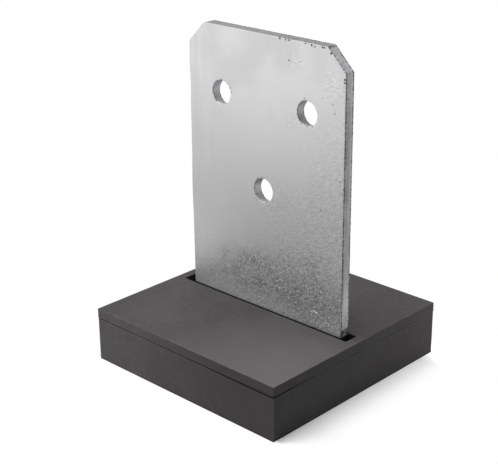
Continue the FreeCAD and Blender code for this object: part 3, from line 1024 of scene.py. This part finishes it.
def paper_whiteness(tree, at, settings):
    """How plain white the paper is: fully in front, and elsewhere past the reach of the shadow."""
    edge = at.edge
    reach = put(tree, RANGE, {
        0: at.y, 1: -45 * MM, 2: 30 * MM, 3: edge + settings.fade_end, 4: edge + settings.rear_fade,
    })
    front_reach = put(tree, RANGE, {
        0: at.y, 1: -edge, 2: -42 * MM, 3: edge + 2.5 * MM, 4: edge + settings.fade_end,
    })
    reach = put(tree, SMALLER, {0: reach, 1: front_reach})
    white = put(tree, SOFT_RANGE, {0: at.outermost, 1: edge + settings.fade_start, 2: reach})
    in_front = put(tree, SOFT_RANGE, {0: at.y, 1: -edge + 4 * MM, 2: -edge - 0.5 * MM})
    return put(tree, LARGER, {0: white, 1: in_front})


def paper_lift(tree, at, settings):
    """Light through the paper, more of it beside the rear corner and little close behind the part."""
    lift = put(tree, RANGE, {0: at.y, 1: -45 * MM, 2: 62 * MM, 3: settings.lift, 4: settings.rear_lift})
    past = put(tree, SOFT_RANGE, {0: at.y, 1: 56 * MM, 2: at.edge, 4: 0.45})
    lift = put(tree, SUM, {0: lift, 1: past})
    beyond = put(tree, RANGE, {0: at.y, 1: at.edge - 0.2 * MM, 2: at.edge + 0.2 * MM})
    hidden = overlap(tree, {0: at.across, 1: at.edge, 2: at.edge - 14 * MM, 4: 0.85}, beyond)
    return put(tree, MIX, {0: hidden, 2: lift, 3: 0.0})


def white_paper(settings):
    """Seamless white background paper, lit through: it keeps soft shadows and fades to plain white."""
    material, tree = new_material("white_background_paper")
    at = square_places(tree)
    at.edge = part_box("cover_plate")[1].x
    rays = put(tree, "ShaderNodeLightPath").outputs
    seen = seen_or_mirrored(tree, rays)
    paper = put(tree, "ShaderNodeBsdfDiffuse", {"Color": settings.floor}, 0)
    lift = put(tree, TIMES, {0: paper_lift(tree, at, settings), 1: seen})
    glow = put(tree, "ShaderNodeEmission", {"Strength": lift}, 0)
    near = put(tree, "ShaderNodeAddShader", {0: paper, 1: glow}, 0)
    plain = put(tree, RANGE, {0: rays["Is Camera Ray"], 3: settings.mirrored_paper})
    far = put(tree, "ShaderNodeEmission", {"Strength": plain}, 0)
    white = put(tree, TIMES, {0: paper_whiteness(tree, at, settings), 1: seen})
    both = put(tree, "ShaderNodeMixShader", {0: white, 1: near, 2: far}, 0)
    put(tree, "ShaderNodeOutputMaterial", {"Surface": both})
    return material


def new_geometry_tree(name, sizes):
    """An empty Geometry Nodes tree with a mesh in, a mesh out and named sizes, and its inputs."""
    tree = bpy.data.node_groups.new(name, "GeometryNodeTree")
    tree.interface.new_socket("Geometry", in_out="INPUT", socket_type="NodeSocketGeometry")
    for label, kind in sizes:
        tree.interface.new_socket(label, in_out="INPUT", socket_type=kind)
    tree.interface.new_socket("Geometry", in_out="OUTPUT", socket_type="NodeSocketGeometry")
    return tree, put(tree, "NodeGroupInput").outputs


def end_tree(tree, geometry, material):
    """Ends a tree: smooth shading, real mesh in place of instances, and its material."""
    smooth = put(tree, "GeometryNodeSetShadeSmooth", {"Geometry": geometry}, 0)
    real = put(tree, "GeometryNodeRealizeInstances", {"Geometry": smooth}, 0)
    dressed = put(tree, "GeometryNodeSetMaterial", {"Geometry": real, "Material": material}, 0)
    put(tree, "NodeGroupOutput", {"Geometry": dressed})


def plain_mesh(name, base, material, tree=None, values=None):
    """The finished mesh of a curve, or of a base mesh that a tree is run on, with one material."""
    carrier = bpy.data.objects.new(name + "_base", base)
    bpy.context.scene.collection.objects.link(carrier)
    if tree:
        modifier = carrier.modifiers.new(tree.name, "NODES")
        modifier.node_group = tree
        values = {**values, "Material": material}
        for item in tree.interface.items_tree:
            if item.in_out == "INPUT" and item.name in values:
                modifier[item.identifier] = values[item.name]
    evaluated = carrier.evaluated_get(bpy.context.evaluated_depsgraph_get())
    mesh = bpy.data.meshes.new_from_object(evaluated)
    if not mesh.polygons:
        raise RuntimeError(f"{name} came out empty")
    mesh.name = name
    mesh.materials.clear()
    mesh.materials.append(material)
    mesh.polygons.foreach_set("material_index", [0] * len(mesh.polygons))
    bpy.data.objects.remove(carrier)
    return mesh


def nodule_tree():
    """Scatters flattened beads over a surface, more of them towards the foot and the right."""
    tree, size = new_geometry_tree("zinc_nodules", [
        ("Density", "NodeSocketFloat"), ("Largest", "NodeSocketFloat"), ("Clear above", "NodeSocketFloat"),
        ("Foot", "NodeSocketFloat"), ("Seed", "NodeSocketInt"), ("Material", "NodeSocketMaterial"),
    ])
    position = put(tree, "GeometryNodeInputPosition", out=0)
    x, _, z = put(tree, "ShaderNodeSeparateXYZ", {0: position}).outputs
    rightward = put(tree, RANGE, {0: x, 1: -50 * MM, 2: 35 * MM, 3: 0.2})
    crowd = put(tree, NOISE, {"Scale": per(9), "Detail": 2.0})
    crowd = put(tree, RANGE, {0: crowd, 1: 0.42, 2: 0.62, 3: 0.1})
    footward = {0: z, 1: size["Clear above"], 2: size["Foot"]}
    scatter = put(tree, "GeometryNodeDistributePointsOnFaces", {
        "Mesh": size["Geometry"], "Seed": size["Seed"],
        "Density": overlap(tree, footward, rightward, crowd, size["Density"]),
    })
    bead = put(tree, "GeometryNodeMeshIcoSphere", {"Radius": 1.0, "Subdivisions": 2}, 0)
    lot = put(tree, "FunctionNodeRandomValue", {2: 0.0, 3: 1.0, "Seed": size["Seed"]}, 1)
    lot = put(tree, MATH, {0: lot, 1: 3.0}, 0, operation="POWER")
    share = put(tree, TIMES_PLUS, {0: lot, 1: 1 - BEAD_SMALLEST, 2: BEAD_SMALLEST})
    radius = put(tree, TIMES, {0: share, 1: size["Largest"]})
    flat = put(tree, TIMES, {0: radius, 1: BEAD_FLATNESS})
    beads = put(tree, "GeometryNodeInstanceOnPoints", {
        "Points": scatter.outputs["Points"], "Instance": bead, "Rotation": scatter.outputs["Rotation"],
        "Scale": put(tree, "ShaderNodeCombineXYZ", {0: radius, 1: radius, 2: flat}, 0),
    }, 0)
    end_tree(tree, beads, size["Material"])
    return tree


def face_patch(name, low, high, y):
    """A flat strip on one face of the knife plate, facing away from the steel."""
    corners = [(low.x, y, low.z), (high.x, y, low.z), (high.x, y, high.z), (low.x, y, high.z)]
    if y > 0:
        corners.reverse()
    mesh = bpy.data.meshes.new(name)
    mesh.from_pydata(corners, [], [(0, 1, 2, 3)])
    return mesh


def sliver_mesh(name, width, y, material):
    """A thin tapered sliver that lies bent on the plate's face."""
    curve = bpy.data.curves.new(name, "CURVE")
    curve.dimensions = "3D"
    curve.bevel_depth = width
    curve.bevel_resolution = 2
    curve.resolution_u = 6
    curve.use_fill_caps = True
    spline = curve.splines.new("NURBS")
    spline.points.add(len(ZINC_SLIVER) - 1)
    ends = {0, len(ZINC_SLIVER) - 1}
    for k, (point, (x, z)) in enumerate(zip(spline.points, ZINC_SLIVER)):
        point.co = (x * MM, y, z * MM, 1.0)
        point.radius = 0.4 if k in ends else 1.0
    spline.order_u = 3
    spline.use_endpoint_u = True
    mesh = plain_mesh(name, curve, material)
    mesh.shade_smooth()
    return mesh


def weld_tree():
    """Lays a rippled bead along a line, from its cross-section."""
    tree, size = new_geometry_tree("weld_bead", [
        ("Start", "NodeSocketVector"), ("End", "NodeSocketVector"), ("Pitch", "NodeSocketFloat"),
        ("Ripple", "NodeSocketFloat"), ("Material", "NodeSocketMaterial"),
    ])
    section = put(tree, "GeometryNodeMeshToCurve", {"Mesh": size["Geometry"]}, 0)
    line = put(tree, "GeometryNodeCurvePrimitiveLine", {"Start": size["Start"], "End": size["End"]}, 0)
    step = put(tree, TIMES, {0: size["Pitch"], 1: 1 / RIPPLE_STEPS})
    path = put(tree, "GeometryNodeResampleCurve", {"Curve": line, "Length": step}, 0, mode="LENGTH")
    travelled = put(tree, "GeometryNodeSplineParameter", out="Length")
    ripple = put(tree, MATH, {0: travelled, 1: size["Pitch"]}, 0, operation="DIVIDE")
    ripple = put(tree, MATH, {0: ripple}, 0, operation="FRACT")
    ripple = put(tree, MATH, {0: ripple, 1: 2.0}, 0, operation="POWER")
    ripple = put(tree, TIMES, {0: ripple, 1: size["Ripple"]})
    scale = put(tree, MATH, {0: 1.0, 1: ripple}, 0, operation="SUBTRACT")
    bead = put(tree, "GeometryNodeCurveToMesh", {
        "Curve": path, "Profile Curve": section, "Fill Caps": True, "Scale": scale,
    }, 0)
    end_tree(tree, bead, size["Material"])
    return tree


def weld_section(low, high, outward):
    """Cross-section of a fillet weld with a crowned face, from its root, as one closed loop.

    A line along +X turns the section half round, so both of its axes are drawn backwards here.
    """
    leg_out = high.y - low.y
    leg_up = high.z - low.z
    points = [(0.0, 0.0)]
    for k in range(CROWN_STEPS + 1):
        share = k / CROWN_STEPS
        crown = CROWN * MM * math.sin(math.pi * share)
        points.append((leg_out * (1 - share) + crown, leg_up * share + crown))
    if outward < 0:
        points.reverse()
    loop = [(k, (k + 1) % len(points)) for k in range(len(points))]
    mesh = bpy.data.meshes.new("weld_section")
    mesh.from_pydata([(-a * outward, -b, 0) for a, b in points], loop, [])
    return mesh


def check_bead(mesh, low, high):
    """Stops if a weld's bead lies outside the weld that it stands for."""
    corners = np.array([vertex.co for vertex in mesh.vertices])
    spare = WELD_SPARE * MM
    under = corners.min(0) < np.array(low) - spare
    over = corners.max(0) > np.array(high) + spare
    if under.any() or over.any():
        raise RuntimeError(f"{mesh.name} lies outside the weld that it stands for")


def make_floor(settings):
    """A wide sheet of white paper under the part."""
    half = 4.0
    corners = [(-half, -half, 0), (half, -half, 0), (half, half, 0), (-half, half, 0)]
    mesh = bpy.data.meshes.new("paper_floor")
    mesh.from_pydata(corners, [], [(0, 1, 2, 3)])
    floor = bpy.data.objects.new("paper_floor", mesh)
    bpy.context.scene.collection.objects.link(floor)
    only_material(floor, white_paper(settings))


def make_world(scene, settings):
    """An even room, seen as plain white by the camera and dimmer in reflections."""
    world = bpy.data.worlds.new("white_room")
    world.use_nodes = True
    scene.world = world
    tree = world.node_tree
    tree.nodes.clear()
    rays = put(tree, "ShaderNodeLightPath").outputs
    mirrored = put(tree, LARGER, {0: rays["Is Glossy Ray"], 1: rays["Is Transmission Ray"]})
    strength = put(tree, RANGE, {0: mirrored, 3: settings.sky, 4: settings.mirrored_room})
    strength = put(tree, LARGER, {0: strength, 1: rays["Is Camera Ray"]})
    room = put(tree, "ShaderNodeBackground", {"Color": (1.0, 1.0, 1.0), "Strength": strength}, 0)
    put(tree, "ShaderNodeOutputWorld", {"Surface": room})


def hang_light(name, kind, place, target, values):
    """Puts a light in place, turned towards its target. The camera sees its light and not the lamp."""
    data = bpy.data.lights.new(name, kind)
    for key, value in values.items():
        setattr(data, key, value)
    lamp = bpy.data.objects.new(name, data)
    lamp.location = place
    lamp.rotation_euler = (Vector(target) - Vector(place)).to_track_quat("-Z", "Y").to_euler()
    lamp.visible_camera = False
    bpy.context.scene.collection.objects.link(lamp)


def make_camera(scene, settings):
    """The camera, from its angle, tilt and distance round the point it looks at."""
    azimuth, elevation, roll = settings.azimuth, settings.elevation, settings.roll
    back = Vector((
        math.sin(azimuth) * math.cos(elevation),
        -math.cos(azimuth) * math.cos(elevation),
        math.sin(elevation),
    ))
    level = Vector((math.cos(azimuth), math.sin(azimuth), 0))
    upright = back.cross(level)
    right = level * math.cos(roll) + upright * math.sin(roll)
    up = upright * math.cos(roll) - level * math.sin(roll)
    data = bpy.data.cameras.new("camera")
    data.sensor_width = SENSOR_WIDTH
    data.lens = settings.focal_pixels * SENSOR_WIDTH / IMAGE_WIDTH
    data.clip_start = 0.01
    camera = bpy.data.objects.new("camera", data)
    turn = Matrix((right, up, back)).transposed().to_4x4()
    camera.matrix_world = Matrix.Translation(Vector(settings.aim) + back * settings.distance) @ turn
    scene.collection.objects.link(camera)
    scene.camera = camera


class POSTBASE_OT_studio(bpy.types.Operator):
    """Set up the paper floor, the soft lights and the camera"""

    bl_idname = "postbase.studio"
    bl_label = "White studio"

    def execute(self, context):
        settings = context.scene.postbase_studio
        make_floor(settings)
        make_world(context.scene, settings)
        for name, kind, place, target, power, size in LAMPS:
            hang_light(name, kind, place, target, {"energy": getattr(settings, power), **size})
        make_camera(context.scene, settings)
        context.scene.view_settings.view_transform = "Standard"
        return {"FINISHED"}


class POSTBASE_OT_knife_plate(bpy.types.Operator):
    """Replace the plain knife plate by one with the zinc's waves, peel, nicks and pits"""

    bl_idname = "postbase.knife_plate"
    bl_label = "Galvanised knife plate"

    def execute(self, context):
        settings = context.scene.postbase_plate
        points, faces, arris, cut = plate_mesh(settings)
        mesh = bpy.data.meshes.new("galvanised_plate")
        mesh.from_pydata(points.tolist(), [], faces)
        if mesh.validate():
            raise RuntimeError("the plate's mesh has faults")
        weather_plate(mesh, arris, cut, settings)
        mesh.shade_smooth()
        plate = new_piece("galvanised_plate", mesh)
        only_material(plate, steel(settings))
        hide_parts("knife_plate")
        return {"FINISHED"}


class POSTBASE_OT_zinc_beads(bpy.types.Operator):
    """Scatter small beads of bright zinc on the plate's faces, and lay the sliver on the front one"""

    bl_idname = "postbase.zinc_beads"
    bl_label = "Zinc beads and sliver"

    def execute(self, context):
        settings = context.scene.postbase_plate
        low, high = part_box("knife_plate")
        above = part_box("cover_plate")[1].z
        margin = Vector((1.0, 0, 1.0)) * BEAD_MARGIN * MM
        tree = nodule_tree()
        material = fresh_zinc(settings)
        for side, y in (("front", low.y), ("rear", high.y)):
            patch_low = Vector((low.x, y, above)) + margin
            patch_high = Vector((high.x, y, above + BEAD_STRIP * MM)) - margin
            name = "zinc_nodules_" + side
            mesh = plain_mesh(name, face_patch(name, patch_low, patch_high, y), material, tree, {
                "Density": settings.nodule_density, "Largest": settings.nodule_size,
                "Clear above": above + BEAD_END * MM, "Foot": above + BEAD_FOOT * MM,
                "Seed": BEAD_SEEDS[side],
            })
            new_piece(name, mesh)
        sliver = sliver_mesh("zinc_sliver", settings.sliver_width, low.y, material)
        new_piece("zinc_sliver", sliver)
        return {"FINISHED"}


class POSTBASE_OT_foot(bpy.types.Operator):
    """Finish the anchor flange, and lay rippled beads for the welds at the knife plate's foot"""

    bl_idname = "postbase.foot"
    bl_label = "Anchor flange and welds"

    def execute(self, context):
        settings = context.scene.postbase_plate
        only_material(frame["nodes"]["anchor_flange"], steel(settings))
        tree = weld_tree()
        for node, outward in (("weld_front", -1), ("weld_rear", 1)):
            low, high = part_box(node)
            root = high.y if outward < 0 else low.y
            name = node + "_bead"
            mesh = plain_mesh(name, weld_section(low, high, outward), steel(settings), tree, {
                "Start": (low.x, root, low.z), "End": (high.x, root, low.z),
                "Pitch": settings.ripple_pitch, "Ripple": RIPPLE_DEPTH,
            })
            check_bead(mesh, low, high)
            bead = new_piece(name, mesh)
            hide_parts(node)
        return {"FINISHED"}


class POSTBASE_OT_standoff(bpy.types.Operator):
    """Give the tray and its slotted cover their moulded black finish"""

    bl_idname = "postbase.standoff"
    bl_label = "Moulded standoff"

    def execute(self, context):
        material = black_moulding(context.scene.postbase_standoff)
        for node in ("standoff_body", "cover_plate"):
            only_material(frame["nodes"][node], material)
        return {"FINISHED"}


OPERATORS = (
    POSTBASE_OT_studio,
    POSTBASE_OT_knife_plate,
    POSTBASE_OT_zinc_beads,
    POSTBASE_OT_foot,
    POSTBASE_OT_standoff,
)


class POSTBASE_PT_pieces(bpy.types.Panel):
    """Lists the pieces and the stage"""

    bl_label = "Post base"
    bl_idname = "POSTBASE_PT_pieces"
    bl_space_type = "VIEW_3D"
    bl_region_type = "UI"
    bl_category = "Post base"

    def draw(self, context):
        for operator in OPERATORS:
            self.layout.operator(operator.bl_idname)
        for group in ("postbase_plate", "postbase_standoff", "postbase_studio"):
            settings = getattr(context.scene, group)
            box = self.layout.box()
            for name in settings.__annotations__:
                box.prop(settings, name)


CLASSES = (PlateSettings, StandoffSettings, StudioSettings, *OPERATORS, POSTBASE_PT_pieces)


def register():
    """Adds the settings, the operators and the panel."""
    for item in CLASSES:
        bpy.utils.register_class(item)
    bpy.types.Scene.postbase_plate = bpy.props.PointerProperty(type=PlateSettings)
    bpy.types.Scene.postbase_standoff = bpy.props.PointerProperty(type=StandoffSettings)
    bpy.types.Scene.postbase_studio = bpy.props.PointerProperty(type=StudioSettings)


def unregister():
    """Takes them away again."""
    del bpy.types.Scene.postbase_studio
    del bpy.types.Scene.postbase_standoff
    del bpy.types.Scene.postbase_plate
    for item in reversed(CLASSES):
        bpy.utils.unregister_class(item)


def main():
    """Makes the stage and every piece in order."""
    register()
    bpy.ops.postbase.studio()
    bpy.ops.postbase.knife_plate()
    bpy.ops.postbase.zinc_beads()
    bpy.ops.postbase.foot()
    bpy.ops.postbase.standoff()


if __name__ == "__main__":
    main()
